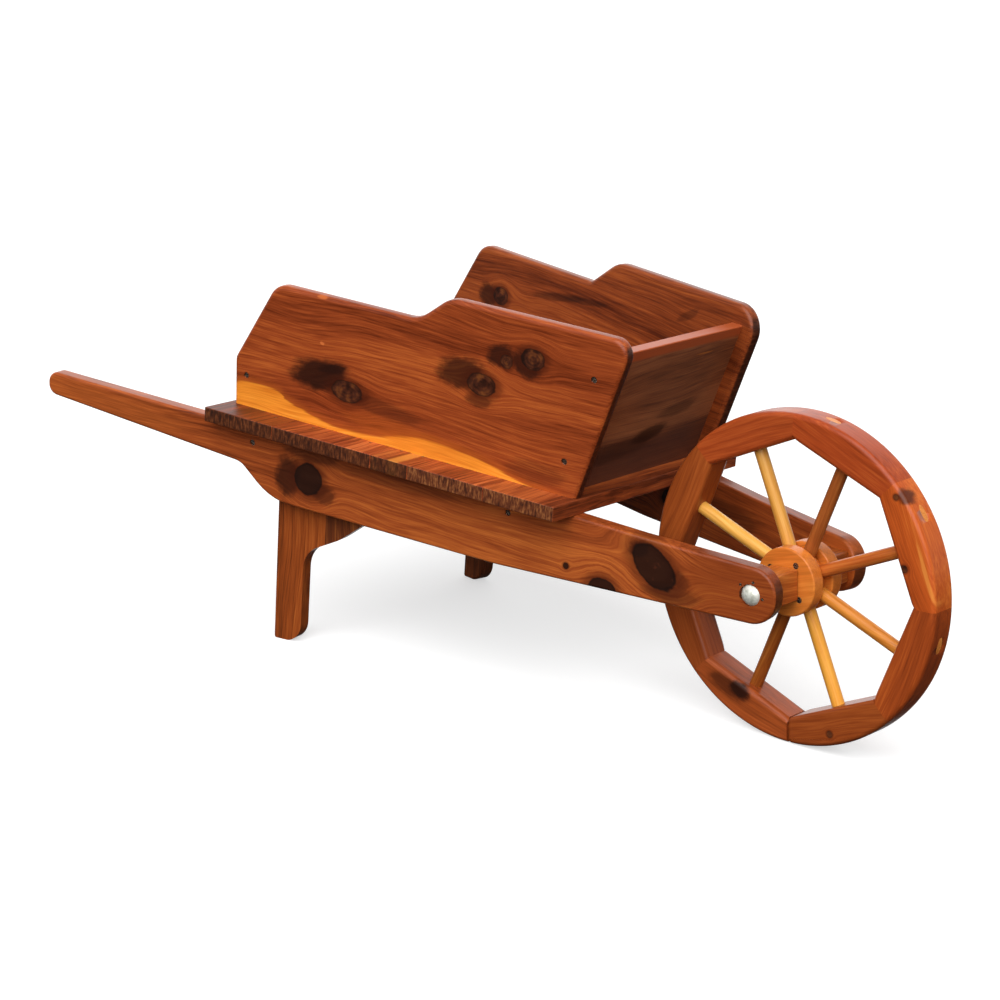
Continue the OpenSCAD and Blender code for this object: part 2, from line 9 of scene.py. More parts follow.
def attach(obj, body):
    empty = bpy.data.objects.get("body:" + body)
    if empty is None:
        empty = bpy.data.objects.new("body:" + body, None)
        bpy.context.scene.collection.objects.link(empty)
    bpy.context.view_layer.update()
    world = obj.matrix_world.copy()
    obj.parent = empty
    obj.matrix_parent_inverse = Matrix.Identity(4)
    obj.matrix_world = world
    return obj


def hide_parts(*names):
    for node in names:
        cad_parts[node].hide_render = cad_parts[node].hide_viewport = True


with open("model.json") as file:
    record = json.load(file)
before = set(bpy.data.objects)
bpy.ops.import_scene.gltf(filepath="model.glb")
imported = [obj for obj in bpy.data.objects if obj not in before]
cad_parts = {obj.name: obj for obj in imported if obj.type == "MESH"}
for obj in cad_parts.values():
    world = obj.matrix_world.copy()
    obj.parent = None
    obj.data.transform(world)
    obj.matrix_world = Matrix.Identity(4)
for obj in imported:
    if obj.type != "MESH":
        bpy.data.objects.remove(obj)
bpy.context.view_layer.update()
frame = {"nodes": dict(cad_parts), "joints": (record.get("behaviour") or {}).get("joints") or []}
nodes = frame["nodes"]

# ---- places, in metres and degrees ----

axle = Vector(frame["joints"][0]["pos_m"])
bed_pitch = 3.75
rail_splay = 9.8
rail_y = 0.098
rail_t = 0.022
floor_top = 0.0575
floor_front = -0.2385
floor_rear = -0.7775
slat_widths = (0.111, 0.156, 0.057, 0.113, 0.102)
tray_half = 0.135
tray_taper = 7.65
flares = {"right": 2.6, "left": 1.4}
front_lean = 17.9
front_board_x = -0.2651
tail_board_x = -0.750
board_t = 0.018
seam_u = -0.6207
wheel_turn = 2.2
felloe_count = 8
pitch_angle = 360 / felloe_count
felloe_middle = 0.178
block_turn = -8


def turned(angle, axis):
    return Matrix.Rotation(math.radians(angle), 4, axis)


def moved(x, y, z):
    return Matrix.Translation((x, y, z))


def side_sign(side):
    """-1 on the right-hand side and 1 on the left."""
    return 1 if side == "left" else -1


bed = Matrix.Translation(axle) @ turned(bed_pitch, "Y")


def rail_place(side):
    """X along the rail, Z up its face, with the axle at 0."""
    s = side_sign(side)
    return bed @ moved(0, s * rail_y, 0) @ turned(-s * rail_splay, "Z")


def side_board_place(side):
    """X along the board from its front bottom corner, Z up its face."""
    s = side_sign(side)
    return (
        bed
        @ moved(floor_front, s * tray_half, floor_top)
        @ turned(-s * tray_taper, "Z")
        @ turned(-s * flares[side], "X")
    )


def slat_place(i):
    """X along the slat, which runs across the tray, and Z along the tray."""
    middle = floor_rear + sum(slat_widths[:i]) - slat_widths[i - 1] / 2
    return bed @ moved(middle, 0, floor_top) @ turned(90, "Z") @ turned(90, "X")


def cross_board_place(x, lean):
    """X along a board that stands across the tray, Z up its face."""
    return bed @ moved(x, 0, floor_top) @ turned(lean, "Y") @ turned(90, "Z")


def wheel_place(angle):
    """X out from the axle at that angle over level, Z at right angles to it, Y along the axle."""
    return Matrix.Translation(axle) @ turned(-angle, "Y")


def mitre_angle(i):
    """The angle of the joint between one felloe and the next."""
    return wheel_turn + i * pitch_angle


# ---- colour ----

def linear(code):
    """An sRGB hex colour as linear red, green, blue and 1."""
    parts = [int(code[i : i + 2], 16) / 255 for i in (1, 3, 5)]
    return [c / 12.92 if c <= 0.04045 else ((c + 0.055) / 1.055) ** 2.4 for c in parts] + [1]


# ---- materials ----

def node_adder(tree):
    """The function that adds a node to a tree."""

    def add(kind, *inputs, out=0, **settings):
        """Adds a node. Its inputs come in the order of its sockets, or as a dict, and each is a value
        or another node's output."""
        node = tree.nodes.new("ShaderNode" + kind)
        for key, value in settings.items():
            setattr(node, key, value)
        by_name = inputs and isinstance(inputs[0], dict)
        for place, value in inputs[0].items() if by_name else enumerate(inputs):
            if isinstance(value, bpy.types.NodeSocket):
                tree.links.new(value, node.inputs[place])
            elif value is not None:
                node.inputs[place].default_value = value
        return node.outputs[out]

    return add


def new_material(name):
    """A material, its shader and the function that adds a node to it."""
    material = bpy.data.materials.new(name)
    material.use_nodes = True
    tree = material.node_tree
    return material, tree.nodes["Principled BSDF"], node_adder(tree)


def grey(level):
    """A level of grey as a colour."""
    return [level, level, level, 1]


def grade(socket, stops, colour=linear):
    """Gives a colour ramp its stops, each a position and a hex colour or a level of grey."""
    ramp = socket.node.color_ramp
    while len(ramp.elements) < len(stops):
        ramp.elements.new(0.5)
    for element, (position, code) in zip(ramp.elements, stops):
        element.position = position
        element.color = colour(code)
    return socket


# bands about 40 mm wide, streaks about 4 mm wide and fibres about 1.5 mm wide: the noise's scale
# along the board, through it and up it, how strongly it tells, and its detail
grain_layers = (
    ("bands", (1.6, 20, 24), 1.15, 2.0),
    ("streaks", (7, 190, 250), 0.72, 4.0),
    ("fibres", (24, 560, 700), 0.95, 3.0),
)
ring_stretch = (0.8, 16, 25)
# torn fibres on a sawn end, drawn about 3 mm wide and 11 mm tall, coarser than real, so that they show
torn_stretch = (300, 90, 360)


def varnished_wood(
    name,
    place,
    seed,
    tones,
    knots=(),
    marks=(),
    sap=(),
    ring=0.01132,
    ends=0.5,
    sawn=("#1c0d08", "#34180e", "#5e3420"),
    rough=0.34,
    reach=(0, 10),
    heart=0.5,
    contrast=1.0,
):
    """Planed, oiled and varnished wood. As aromatic red cedar it has red-brown heartwood with fine
    straight grain and soft darker streaks that bend round dark ringed knots, orange sapwood along
    some edges and dark end grain, and a satin varnish deepens it all. As hardwood dowel it is pale,
    yellower and plainer.

    seed picks the grain, and place is the board's own frame: along its grain, through it and up it.
    tones are three hex colours, dark to light. A knot is (along, up, half length, half height, turn).
    A mark is (along, up, half length, half height, turn, strength, hex colour), a soft ragged patch of
    colour, used for stains and also for painted shade and painted highlights.
    sap is the height of the sapwood's edge at places along the board. ring is how far apart the
    growth rings are. ends is how far the end grain differs and sawn its three colours. reach is the
    middle and the half depth of the knots and marks. heart is how dark a knot is inside, and contrast
    how strong the grain is."""
    material, shader, add = new_material(name)
    inside = place.inverted()
    at = add(
        "Mapping",
        add("TexCoord", out=3),
        inside.to_translation(),
        inside.to_euler("XYZ"),
        vector_type="POINT",
    )
    along, deep, up = add("SeparateXYZ", at).node.outputs

    # the rings wander up and down by a few centimetres along a board
    slow = add("VectorMath", at, (2.6, 7, 7), operation="MULTIPLY")
    wander = add("TexNoise", slow, seed, 1.0, 2.0, noise_dimensions="4D")
    height = add("Math", wander, 0.075, up, operation="MULTIPLY_ADD")

    def distance_from(u, v, half_u, half_v, turn, ragged):
        """How far a point is from an oval's middle, 1 at its rim, with a rim that is uneven."""
        board = add("CombineXYZ", along, up, deep)
        spot = add(
            "Mapping",
            board,
            (u, v, reach[0]),
            (0, 0, math.radians(turn)),
            (half_u, half_v, reach[1]),
            vector_type="TEXTURE",
        )
        far = add("VectorMath", spot, operation="LENGTH", out=1)
        uneven = add("TexNoise", spot, 0.0, 1.7, 6.0, 0.6)
        nearer = add("Math", far, ragged / 2, operation="SUBTRACT")
        return add("Math", uneven, ragged, nearer, operation="MULTIPLY_ADD")

    rims = []
    for knot in knots:
        away = distance_from(*knot, ragged=0.35)
        rims.append(away)
        pull = add("MapRange", away, 0.5, 3.4, 0.88, 0.0, interpolation_type="SMOOTHERSTEP")
        off = add("Math", up, knot[1], operation="SUBTRACT")
        height = add("Math", height, add("Math", pull, off, operation="MULTIPLY"), operation="SUBTRACT")

    grain_at = add("CombineXYZ", along, deep, height)
    tone = None
    fine = {}
    for key, scale, weight, detail in grain_layers:
        weight *= contrast
        stretched = add("VectorMath", grain_at, scale, operation="MULTIPLY")
        fine[key] = add("TexNoise", stretched, seed + scale[0], 1.0, detail, noise_dimensions="4D")
        start = 0.5 - weight / 2 if tone is None else add("Math", tone, weight / 2, operation="SUBTRACT")
        tone = add("Math", fine[key], weight, start, operation="MULTIPLY_ADD")
    # growth rings: each ends in a thin dark line. At scale 1 the wave repeats every 0.2 pi
    ring_at = add("VectorMath", grain_at, ring_stretch, operation="MULTIPLY")
    rings = add(
        "TexWave",
        {
            "Vector": ring_at,
            "Scale": 0.2 * math.pi / Vector(ring_stretch).length / ring,
            "Distortion": 1.6,
            "Detail": 2.0,
            "Detail Scale": 1.5,
            "Detail Roughness": 0.5,
            "Phase Offset": seed * 7,
        },
        out=1,
        wave_type="BANDS",
        bands_direction="DIAGONAL",
        wave_profile="SAW",
    )
    line = add("Math", rings, 4.0, operation="POWER")
    tone = add("Math", line, -0.13 * contrast, tone, operation="MULTIPLY_ADD")
    colour = grade(add("ValToRGB", tone), ((0.12, tones[0]), (0.5, tones[1]), (0.88, tones[2])))

    if sap:
        low, high, top = sap[0][0], sap[-1][0], max(p[1] for p in sap)
        share = add("MapRange", along, low, high)
        curve = add("FloatCurve", {"Value": share})
        line_of_sap = curve.node.mapping.curves[0]
        for x, y in sap[1:-1]:
            line_of_sap.points.new((x - low) / (high - low), y / top)
        line_of_sap.points[0].location = (0, sap[0][1] / top)
        line_of_sap.points[-1].location = (1, sap[-1][1] / top)
        curve.node.mapping.update()
        edge = add("Math", curve, top, operation="MULTIPLY")
        above = add("Math", up, edge, operation="SUBTRACT")
        lowered = add("Math", above, 0.005, operation="SUBTRACT")
        ragged = add("Math", fine["streaks"], 0.010, lowered, operation="MULTIPLY_ADD")
        glow = add("MapRange", ragged, 0.0, 0.014, 0.4, 0.0, interpolation_type="SMOOTHERSTEP")
        colour = add("Mix", {0: glow, 6: colour, 7: linear("#c0601f")}, out=2, data_type="RGBA")
        inner = add("MapRange", ragged, -0.0022, 0.0022, 1.0, 0.0, interpolation_type="SMOOTHERSTEP")
        pale = grade(
            add("ValToRGB", add("Math", tone, 0.75, 0.12, operation="MULTIPLY_ADD")),
            ((0.15, "#d2701c"), (0.5, "#f69830"), (0.85, "#ffc052")),
        )
        colour = add("Mix", {0: inner, 6: colour, 7: pale}, out=2, data_type="RGBA")

    for *oval, strength, code in marks:
        away = distance_from(*oval, ragged=0.9)
        cover = add("MapRange", away, 0.55, 1.2, strength, 0.0, interpolation_type="SMOOTHERSTEP")
        colour = add("Mix", {0: cover, 6: colour, 7: linear(code)}, out=2, data_type="RGBA")

    for away in rims:
        # a soft dark surround, a ringed inside, and a thin dark line where bark has grown in
        halo = add("MapRange", away, 0.95, 1.9, 0.6, 0.0, interpolation_type="SMOOTHERSTEP")
        colour = add("Mix", {0: halo, 6: colour, 7: linear("#45190a")}, out=2, data_type="RGBA")
        patchy = add("TexNoise", at, 0.0, 75.0, 3.0)
        circles = add("Math", add("Math", away, 21.0, operation="MULTIPLY"), operation="SINE")
        knot_tone = add("Math", circles, 0.03, patchy, operation="MULTIPLY_ADD")
        wood = grade(
            add("ValToRGB", add("Math", knot_tone, heart - 0.5, operation="SUBTRACT")),
            ((0.36, "#22110b"), (0.5, "#482417"), (0.66, "#74401f")),
        )
        inner = add("MapRange", away, 0.94, 1.04, 0.92, 0.0, interpolation_type="SMOOTHERSTEP")
        colour = add("Mix", {0: inner, 6: colour, 7: wood}, out=2, data_type="RGBA")
        off_rim = add("Math", add("Math", away, 0.97, operation="SUBTRACT"), operation="ABSOLUTE")
        bark = add("MapRange", off_rim, 0.02, 0.1, 0.7, 0.0)
        colour = add("Mix", {0: bark, 6: colour, 7: linear("#1a0c08")}, out=2, data_type="RGBA")

    # end grain drinks in the oil and turns dark, with paler torn fibres here and there
    grain_axis = place.to_3x3() @ Vector((1, 0, 0))
    facing = add("VectorMath", add("TexCoord", out=1), grain_axis, operation="DOT_PRODUCT", out=1)
    facing = add("Math", facing, operation="ABSOLUTE")
    sawn_at = add("VectorMath", at, torn_stretch, operation="MULTIPLY")
    pores = add("TexNoise", sawn_at, 0.0, 1.0, 5.0, 0.62)
    across = add("MapRange", facing, 0.7, 0.93, 0.0, ends, interpolation_type="SMOOTHERSTEP")
    end_colour = grade(add("ValToRGB", pores), ((0.34, sawn[0]), (0.5, sawn[1]), (0.68, sawn[2])))
    colour = add("Mix", {0: across, 6: colour, 7: end_colour}, out=2, data_type="RGBA")

    height_map = add("Math", line, -0.5, fine["fibres"], operation="MULTIPLY_ADD")
    torn = add("Math", across, pores, operation="MULTIPLY")
    height_map = add("Math", torn, 1.5, height_map, operation="MULTIPLY_ADD")
    bump = add("Bump", {"Height": height_map, "Strength": 0.25, "Distance": 0.0004})
    roughness = add("Math", fine["fibres"], 0.2, rough - 0.1, operation="MULTIPLY_ADD")
    tree = material.node_tree
    tree.links.new(colour, shader.inputs["Base Color"])
    tree.links.new(roughness, shader.inputs["Roughness"])
    tree.links.new(bump, shader.inputs["Normal"])
    shader.inputs["Specular IOR Level"].default_value = 0.3
    return material


def plated_steel(name, stops, scale, rough, metallic):
    """Steel hardware: zinc plate with a faint cloudy mottle on the axle, and brown tarnish with a few
    rubbed bright specks on the screws and nails."""
    material, shader, add = new_material(name)
    cloud = add("TexNoise", add("TexCoord", out=3), 0.0, scale, 4.0)
    colour = grade(add("ValToRGB", cloud), stops)
    tree = material.node_tree
    tree.links.new(colour, shader.inputs["Base Color"])
    tree.links.new(add("MapRange", cloud, 0.3, 0.7, rough + 0.1, rough - 0.1), shader.inputs["Roughness"])
    shader.inputs["Metallic"].default_value = metallic
    return material


# ---- shaping ----

sharp_angle = math.radians(24)
smooth_angle = math.radians(35)
level_angle = math.radians(0.5)
same_point = 0.00001
flat_slack = 0.0006


def only(piece):
    """Selects one piece and makes it the active one."""
    bpy.ops.object.select_all(action="DESELECT")
    piece.select_set(True)
    bpy.context.view_layer.objects.active = piece


def long_edges(mesh, least, flat):
    """The sharp edges that belong to an outline longer than least, without those that lie in a flat."""
    sharp = [e for e in mesh.edges if len(e.link_faces) == 2 and e.calc_face_angle(0) > sharp_angle]
    left = set(sharp)
    found = []
    while left:
        group = [left.pop()]
        for edge in group:
            for corner in edge.verts:
                for other in corner.link_edges:
                    if other in left:
                        left.discard(other)
                        group.append(other)
        places = [v.co for e in group for v in e.verts]
        size = max(max(p[k] for p in places) - min(p[k] for p in places) for k in range(3))
        if size > least:
            found += group

    def lies_in(edge, point, normal):
        return all(abs((v.co - point).dot(normal)) < flat_slack for v in edge.verts)

    return [e for e in found if not any(lies_in(e, *place) for place in flat)]


def shaped(node, body, edge, flat=(), steps=4, least=0.036, merge=True):
    """A copy of a node's solid with its long edges rounded over by edge metres. A flat is a place and
    a normal: a face that butts against another piece, whose edges stay sharp. steps is how many
    faces round an edge over, and least the size of the smallest outline that is rounded. merge is off
    for a turned piece, whose many narrow faces don't merge cleanly."""
    source = nodes[node]
    piece = source.copy()
    piece.data = source.data.copy()
    piece.name = node + "_wood"
    bpy.context.scene.collection.objects.link(piece)
    piece.parent = None
    piece.matrix_world = Matrix.Identity(4)
    only(piece)
    bpy.ops.object.mode_set(mode="EDIT")
    bpy.ops.mesh.select_all(action="SELECT")
    bpy.ops.mesh.remove_doubles(threshold=same_point)
    if merge:
        bpy.ops.mesh.dissolve_limited(angle_limit=level_angle)
    bpy.ops.mesh.select_all(action="DESELECT")
    bpy.ops.mesh.select_mode(type="EDGE")
    mesh = bmesh.from_edit_mesh(piece.data)
    for e in long_edges(mesh, least, flat):
        e.select_set(True)
    bmesh.update_edit_mesh(piece.data)
    bpy.ops.mesh.bevel(offset=edge, segments=steps, affect="EDGES", clamp_overlap=False, loop_slide=merge)
    bpy.ops.object.mode_set(mode="OBJECT")
    bpy.ops.object.shade_smooth_by_angle(angle=smooth_angle)
    weighted = piece.modifiers.new("even_shading", "WEIGHTED_NORMAL")
    weighted.keep_sharp = True
    weighted.weight = 80
    bpy.ops.object.modifier_apply(modifier=weighted.name)
    piece.data.materials.clear()
    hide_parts(node)
    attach(piece, body)
    return piece


def flat_at(place, normal):
    """A flat through a place's origin, across one of its axes."""
    return place.to_translation(), (place.to_3x3() @ Vector(normal)).normalized()


def wear(piece, material):
    """Gives a piece its material."""
    piece.data.materials.append(material)


# ---- rails, legs, cleats ----

dark_brown = "#2b120a"
rail_tones = ("#682b0f", "#a04b20", "#c86c2e")
rail_knots = {
    "right": [
        (-0.128, 0.002, 0.034, 0.021, -38),
        (-0.636, -0.009, 0.021, 0.021, -30),
        (-0.196, -0.047, 0.020, 0.017, 0),
        (-0.248, -0.027, 0.004, 0.004, 0),
    ],
    "left": [(-0.30, -0.012, 0.016, 0.012, 10), (-0.86, 0.012, 0.006, 0.006, 0)],
}
rail_marks_and_painted_light = {
    "right": [
        (-0.150, 0.020, 0.016, 0.011, 20, 0.8, dark_brown),
        (-0.091, -0.006, 0.016, 0.010, -30, 0.6, dark_brown),
        (-0.668, -0.012, 0.022, 0.030, 0, 0.85, dark_brown),
        (-0.610, -0.024, 0.020, 0.014, 0, 0.6, dark_brown),
        (-0.100, -0.026, 0.045, 0.013, 0, 0.55, dark_brown),
        (-0.630, 0.026, 0.050, 0.012, 0, 0.6, dark_brown),
        (-0.500, 0.020, 0.120, 0.010, 0, 0.35, dark_brown),
        (-0.980, 0.010, 0.170, 0.030, 0, 0.2, "#d0702e"),
        (-0.015, 0.000, 0.090, 0.045, 0, 0.45, "#74300f"),
    ],
    "left": [
        (-0.200, 0.0, 0.080, 0.020, 0, 0.5, dark_brown),
        # painted light: a paler patch on the left rail's nose, where light falls on it
        (0.0, 0.0, 0.055, 0.040, 0, 0.55, "#cc6a2c"),
    ],
}
# painted shade: the left leg's tones are darkened because the far leg stands in shadow under the tray
leg_tones_and_painted_shade = {"right": ("#5c2a0f", "#93451a", "#b66028"), "left": ("#3c1b0b", "#683217", "#8c4a22")}
gusset_tones = ("#3c1c0d", "#6a3318", "#a05a28")
cleat_tones = ("#4c220e", "#7a3a1a", "#9a5226")
for number, side in enumerate(("right", "left")):
    place = rail_place(side)
    rail = shaped("rail_" + side, "frame", edge=0.004)
    wear(
        rail,
        varnished_wood(
            "cedar_rail_" + side,
            place,
            1.3 + number,
            rail_tones,
            rail_knots[side],
            rail_marks_and_painted_light[side],
            ends=0.75,
            heart=0.77,
        ),
    )
    upright = place @ turned(90, "Y")
    seam = flat_at(place @ moved(seam_u, 0, 0), (1, 0, 0))
    on_rail = flat_at(place @ moved(0, -side_sign(side) * rail_t, 0), (0, 1, 0))
    for name, seed, tones in (("leg_", 9.1, leg_tones_and_painted_shade[side]), ("gusset_", 12.1, gusset_tones)):
        leg = shaped(name + side, "frame", edge=0.004, flat=(seam, on_rail))
        wear(leg, varnished_wood("cedar_" + name + side, upright, seed + number, tones, ring=0.01348))
for number, name in enumerate(("front_cleat", "rear_cleat")):
    cleat = shaped(name, "frame", edge=0.0015)
    place = bed @ turned(90, "Z")
    wear(cleat, varnished_wood("cedar_" + name, place, 9.7 + number, cleat_tones))

# ---- floor ----

slat_tones = (
    ("#421d0d", "#803917", "#b05626"),
    ("#5c2410", "#9c4420", "#d0703a"),
    ("#7a3418", "#a85026", "#d88440"),
    ("#5c2410", "#9a4420", "#cc6c38"),
    ("#56230d", "#90421e", "#c2642f"),
)
# the third slat has a pale stripe along it
pale_stripe = (0, 0.006, 0.6, 0.009, 0, 0.85, "#d98a3a")
# the three rear slats have darker ends than the two front ones
dark_ends = ("#1e0e09", "#47220f", "#7c4526")
torn_ends = ("#27130b", "#63321b", "#a4683a")
for i in range(1, 6):
    slat = shaped(f"floor_slat_{i}", "frame", edge=0.0014, steps=2)
    wear(
        slat,
        varnished_wood(
            f"cedar_slat_{i}",
            slat_place(i),
            12.4 + 2.7 * i,
            slat_tones[i - 1],
            marks=[pale_stripe] if i == 3 else (),
            ends=0.95,
            sawn=dark_ends if i < 4 else torn_ends,
            rough=0.45,
            contrast=1.35,
        ),
    )

# ---- tray ----

# painted shade: the left board's tones are darker than the right's because its inner face, seen inside the
# tray, lies in shade
board_tones_and_painted_shade = {
    "right": ("#66260c", "#9c451e", "#c6662c"),
    "left": ("#52200d", "#883f1c", "#ae5a28"),
}
side_knots = {
    "right": [
        (-0.352, 0.057, 0.024, 0.014, 0),
        (-0.147, 0.113, 0.021, 0.014, 0),
        (-0.112, 0.150, 0.009, 0.0085, 0),
        (-0.074, 0.161, 0.017, 0.013, 0),
    ],
    "left": [(-0.421, 0.112, 0.015, 0.012, 0)],
}
side_marks = {
    "right": [
        (-0.396, 0.070, 0.052, 0.023, 8, 0.95, dark_brown),
        (-0.375, 0.082, 0.026, 0.007, 12, 0.95, dark_brown),
        (-0.178, 0.122, 0.040, 0.022, 10, 0.85, dark_brown),
        (-0.150, 0.092, 0.022, 0.010, 0, 0.6, dark_brown),
        (-0.122, 0.156, 0.022, 0.015, 20, 0.85, dark_brown),
        (-0.085, 0.151, 0.026, 0.015, -30, 0.85, dark_brown),
        (-0.300, 0.048, 0.080, 0.012, -6, 0.4, dark_brown),
        (-0.060, 0.020, 0.050, 0.016, 0, 0.35, dark_brown),
        (-0.250, 0.020, 0.110, 0.016, -4, 0.2, "#d26a22"),
        (-0.393, 0.112, 0.004, 0.0022, -10, 0.9, "#d8743a"),
        (-0.395, 0.172, 0.009, 0.0022, 0, 0.7, "#cc6a30"),
    ],
    "left": [
        (-0.300, 0.140, 0.060, 0.006, 9, 0.6, dark_brown),
        (-0.250, 0.146, 0.050, 0.005, 6, 0.6, dark_brown),
        (-0.446, 0.108, 0.022, 0.018, 0, 0.85, dark_brown),
        (-0.060, 0.175, 0.024, 0.006, 30, 0.45, dark_brown),
    ],
}
# places on the edge of the sapwood, each along the board and up it
sapwood = (
    (-0.535, 0.026), (-0.500, 0.033), (-0.472, 0.033), (-0.452, 0.025), (-0.420, 0.015),
    (-0.390, 0.009), (-0.355, 0.006), (-0.318, 0.008), (-0.262, 0.017), (-0.217, 0.022),
    (-0.170, 0.019), (-0.127, 0.013), (-0.089, 0.004), (-0.060, -0.010), (0.05, -0.03),
)
tray_floor = flat_at(bed @ moved(0, 0, floor_top), (0, 0, 1))
for number, side in enumerate(("right", "left")):
    place = side_board_place(side)
    board = shaped("side_board_" + side, "frame", edge=0.006, flat=(tray_floor,))
    wear(
        board,
        varnished_wood(
            "cedar_side_board_" + side,
            place,
            31.2 + 4 * number,
            board_tones_and_painted_shade[side],
            side_knots[side],
            side_marks[side],
            sapwood if side == "right" else (),
            ends=0.9,
        ),
    )
inner_faces = tuple(
    flat_at(side_board_place(side) @ moved(0, -side_sign(side) * board_t, 0), (0, 1, 0))
    for side in ("right", "left")
)
front_tones = ("#4c2a1c", "#885032", "#ac6c46")
tail_tones = ("#5a2812", "#8c441e", "#b0602e")
front_marks_and_painted_light = [
    # painted shade: a dark greyish band across the whole lower part of the board, behind the wheel
    (0.000, -0.010, 0.400, 0.080, 0, 0.75, "#4a2e28"),
    (0.004, 0.060, 0.034, 0.012, 8, 0.75, "#1c0e0a"),
    (0.044, 0.088, 0.040, 0.011, 6, 0.45, "#1c0e0a"),
    (-0.060, 0.045, 0.090, 0.016, 4, 0.5, "#2a1712"),
    (0.057, 0.167, 0.018, 0.0013, 0, 0.8, "#b3662c"),
    # painted highlight: a lighter band along the whole top edge of the board
    (0.000, 0.190, 0.500, 0.0095, 0, 0.9, "#b4552c"),
]
for name, x, lean, seed, tones, marks in (
    ("front_board", front_board_x, front_lean, 41.0, front_tones, front_marks_and_painted_light),
    ("tail_board", tail_board_x, 0, 47.0, tail_tones, ()),
):
    board = shaped(name, "frame", edge=0.002, flat=(tray_floor,) + inner_faces)
    wear(board, varnished_wood("cedar_" + name, cross_board_place(x, lean), seed, tones, marks=marks))

# ---- axle ----

block_tones = ("#7a3616", "#a8541f", "#cf7a35")
for number, side in enumerate(("right", "left")):
    block = shaped("spacer_block_" + side, "frame", edge=0.0022, least=0.034)
    place = bed @ turned(block_turn, "Y") @ turned(90, "Z")
    wear(block, varnished_wood("cedar_spacer_block_" + side, place, 51 + number, block_tones))

steel = plated_steel("zinc_plated_steel", ((0.35, "#bcbdb0"), (0.65, "#f0f0e6")), 190.0, 0.5, 0.3)
for name in ("axle_bolt", "axle_washer", "axle_nut"):
    nodes[name].data.materials.clear()
    nodes[name].data.materials.append(steel)

# ---- wheel ----

felloe_tones = (
    ("#8a3611", "#c2561e", "#e27c32"),
    ("#7a2f12", "#ab461c", "#cf6c2e"),
    ("#702c12", "#a4451c", "#c65f2a"),
    ("#662d12", "#98481c", "#bc622a"),
    ("#622a11", "#934319", "#b65c28"),
    ("#743414", "#ab5022", "#d27036"),
    ("#60280f", "#8c3f17", "#b25a25"),
    ("#702d10", "#a2471a", "#cc6628"),
)
felloe_knots = {
    1: [(0.0197, -0.0132, 0.0045, 0.0050, 0), (-0.0618, 0.0057, 0.0035, 0.0035, 0)],
    7: [(0.010, 0.010, 0.004, 0.004, 0)],
}
felloe_marks = {
    1: [
        (0.034, 0.0137, 0.042, 0.0030, -2, 0.85, "#e58a3c"),
        (-0.060, 0.018, 0.013, 0.010, 0, 0.8, dark_brown),
    ],
    6: [
        (0.0082, -0.0097, 0.0180, 0.0110, 0, 0.95, dark_brown),
        (0.0250, -0.0040, 0.0360, 0.0120, 0, 0.65, dark_brown),
    ],
}
for i in range(1, felloe_count + 1):
    # the seventh felloe has a rounded end where it meets the sixth
    mitres = (i,) if i == 7 else (i - 1, i)
    ends = tuple(flat_at(wheel_place(mitre_angle(k)), (0, 0, 1)) for k in mitres)
    felloe = shaped(f"felloe_{i}", "wheel", edge=0.006, flat=ends)
    place = wheel_place(mitre_angle(i - 0.5)) @ moved(felloe_middle, 0, 0) @ turned(90, "Y")
    wear(
        felloe,
        varnished_wood(
            f"cedar_felloe_{i}",
            place,
            60 + 3.3 * i,
            felloe_tones[i - 1],
            felloe_knots.get(i, ()),
            felloe_marks.get(i, ()),
            ring=0.009436,
            ends=0.2,
            reach=(-0.020, 0.024),
            contrast=0.7,
        ),
    )

# the spokes and pegs are hardwood dowel, some of it darker where the oil soaked in
spoke_tones = (
    ("#8a3c12", "#b85a22", "#d47c34"),
    ("#7c3c18", "#a85a26", "#c67a38"),
    ("#b8742c", "#dc9a44", "#ecb860"),
    ("#c08030", "#e2a246", "#f0ba5c"),
    ("#7a4420", "#9c602c", "#b47a3a"),
    ("#7e3c14", "#a4561e", "#c0742e"),
    ("#c0741f", "#e69a36", "#f4b450"),
    ("#b4661e", "#dc8c36", "#eca244"),
)
for i in range(1, felloe_count + 1):
    spoke = shaped(f"spoke_{i}", "wheel", edge=0.0008, steps=2, least=0.014)
    wear(
        spoke,
        varnished_wood(
            f"dowel_spoke_{i}",
            wheel_place(mitre_angle(i - 0.5)),
            95 + 1.9 * i,
            spoke_tones[i - 1],
            ring=0.01348,
            ends=0.1,
            contrast=0.8,
        ),
    )

peg_tones = ("#b4611f", "#e0893c", "#f0a458")
pegs = shaped("rim_pegs", "wheel", edge=0.0004, steps=1, least=0.008)
wear(pegs, varnished_wood("dowel_pegs", wheel_place(0), 120, peg_tones, ring=0.005392, ends=0.0))

# the hub's own pale wood, lightened further as painted light where the spacer block shades the hub face
hub_tones_with_painted_light = ("#a8581e", "#da7a2e", "#f09c46")
hub_grain = wheel_place(20) @ moved(0, 0, 0.03)
for number, name in enumerate(("hub_core", "hub_disc_right", "hub_disc_left")):
    disc = shaped(name, "wheel", edge=0.0022, merge=False)
    wear(disc, varnished_wood("cedar_" + name, hub_grain, 130 + number, hub_tones_with_painted_light, ends=0.1, contrast=0.6))

screw_steel = plated_steel(
    "tarnished_screw_steel", ((0.42, "#2a1f1a"), (0.54, "#6a5a4c"), (0.62, "#c4baac")), 900.0, 0.4, 0.8
)
for name in (
    "hub_screws", "cleat_screws", "leg_screws", "panel_screws", "floor_screws", "floor_nails", "block_nails",
):
    nodes[name].data.materials.clear()
    nodes[name].data.materials.append(screw_steel)

# ---- studio ----

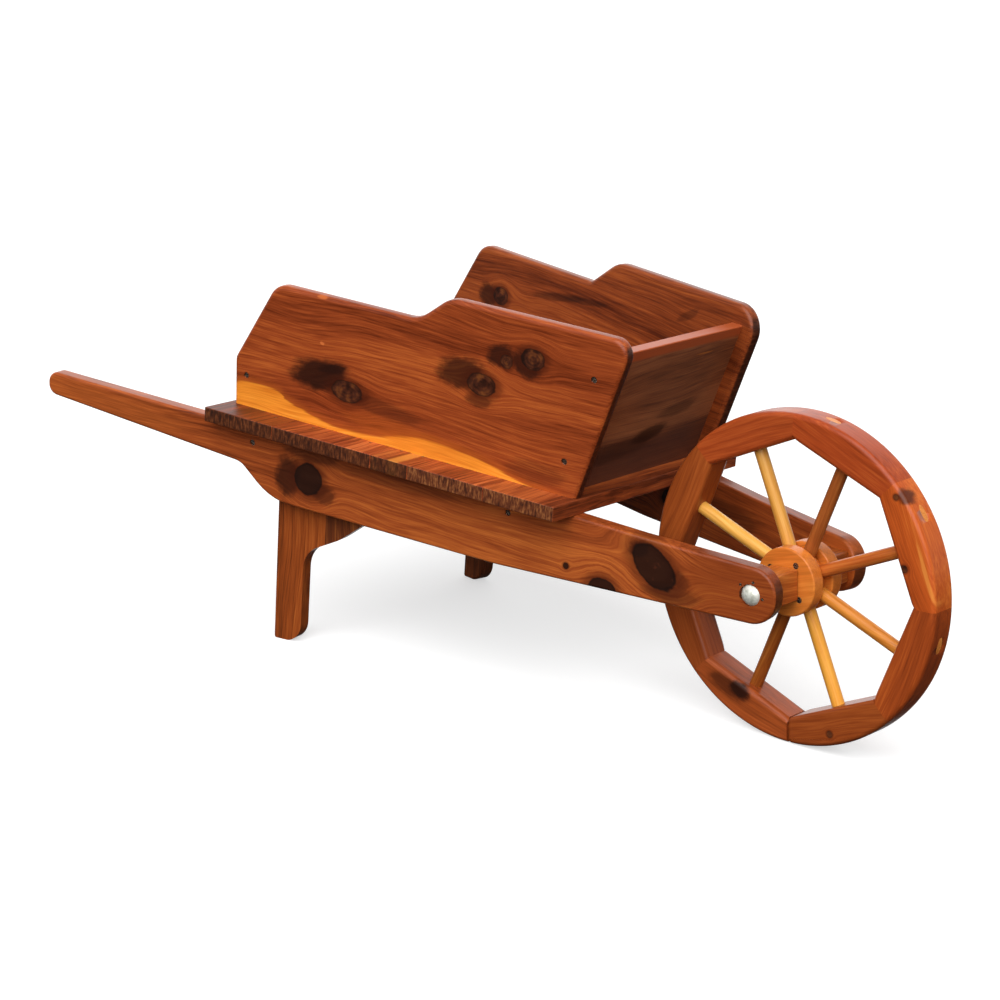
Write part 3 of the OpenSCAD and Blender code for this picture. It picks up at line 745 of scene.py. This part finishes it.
def add_camera(place, turn, lift, roll, lens):
    """Looks turn degrees round from +Y and lift degrees down, rolled by roll degrees."""
    az, el, ro = (math.radians(a) for a in (turn, lift, roll))
    ahead = Vector((-math.sin(az) * math.cos(el), math.cos(az) * math.cos(el), -math.sin(el)))
    level = Vector((math.cos(az), math.sin(az), 0))
    upright_axis = level.cross(ahead)
    right = level * math.cos(ro) + upright_axis * math.sin(ro)
    up = upright_axis * math.cos(ro) - level * math.sin(ro)
    data = bpy.data.cameras.new("camera")
    data.lens = lens
    data.sensor_width = 36
    camera = bpy.data.objects.new("camera", data)
    bpy.context.scene.collection.objects.link(camera)
    camera.matrix_world = Matrix.Translation(place) @ Matrix((right, up, -ahead)).transposed().to_4x4()
    bpy.context.scene.camera = camera


# the lens is long, and the camera stands in front on the right and looks slightly down
stand = axle + Vector((1.7752, -2.5109, 0.9862))
add_camera(stand, turn=41.94, lift=16.39, roll=1.20, lens=97.22)

# a very wide soft light from above and in front, a weaker one from low behind, and a dim sky
for name, place, strength, width in (
    ("wide_key_light", (0.34, -0.62, 0.72), 3.6, 70),
    ("back_fill_light", (-0.55, 0.82, 0.16), 1.6, 80),
):
    light = bpy.data.lights.new(name, "SUN")
    light.energy = strength
    light.angle = math.radians(width)
    lamp = bpy.data.objects.new(name, light)
    bpy.context.scene.collection.objects.link(lamp)
    lamp.rotation_euler = Vector(place).to_track_quat("Z", "Y").to_euler()

world = bpy.data.worlds.new("studio_air")
bpy.context.scene.world = world
world.use_nodes = True
air = world.node_tree
add = node_adder(air)
height = add("SeparateXYZ", add("TexCoord"), out=2)
# the dark part starts a little below the horizon, where the floor hides it
above_edge = add("Math", height, 0.01)
# dark below, a bright band at the horizon and a soft grey above
levels = ((0.0, 0.03), (0.002, 0.75), (0.12, 0.6), (0.3, 0.28), (1.0, 0.34))
sky = grade(add("ValToRGB", above_edge), levels, grey)
air.links.new(sky, air.nodes["Background"].inputs["Color"])

bpy.ops.object.select_all(action="DESELECT")
bpy.ops.mesh.primitive_plane_add(size=500)
floor = bpy.context.object
floor.name = "studio_floor"
paper, paper_shader, _ = new_material("white_paper")
paper_shader.inputs["Base Color"].default_value = linear("#c8c8c8")
paper_shader.inputs["Roughness"].default_value = 0.9
paper_shader.inputs["Specular IOR Level"].default_value = 0.0
paper_shader.inputs["Emission Color"].default_value = (1, 1, 1, 1)
paper_shader.inputs["Emission Strength"].default_value = 0.55
floor.data.materials.append(paper)
# the paper throws no light back up under the barrow
floor.visible_diffuse = False
floor.visible_glossy = False

bpy.context.scene.view_settings.view_transform = "Standard"
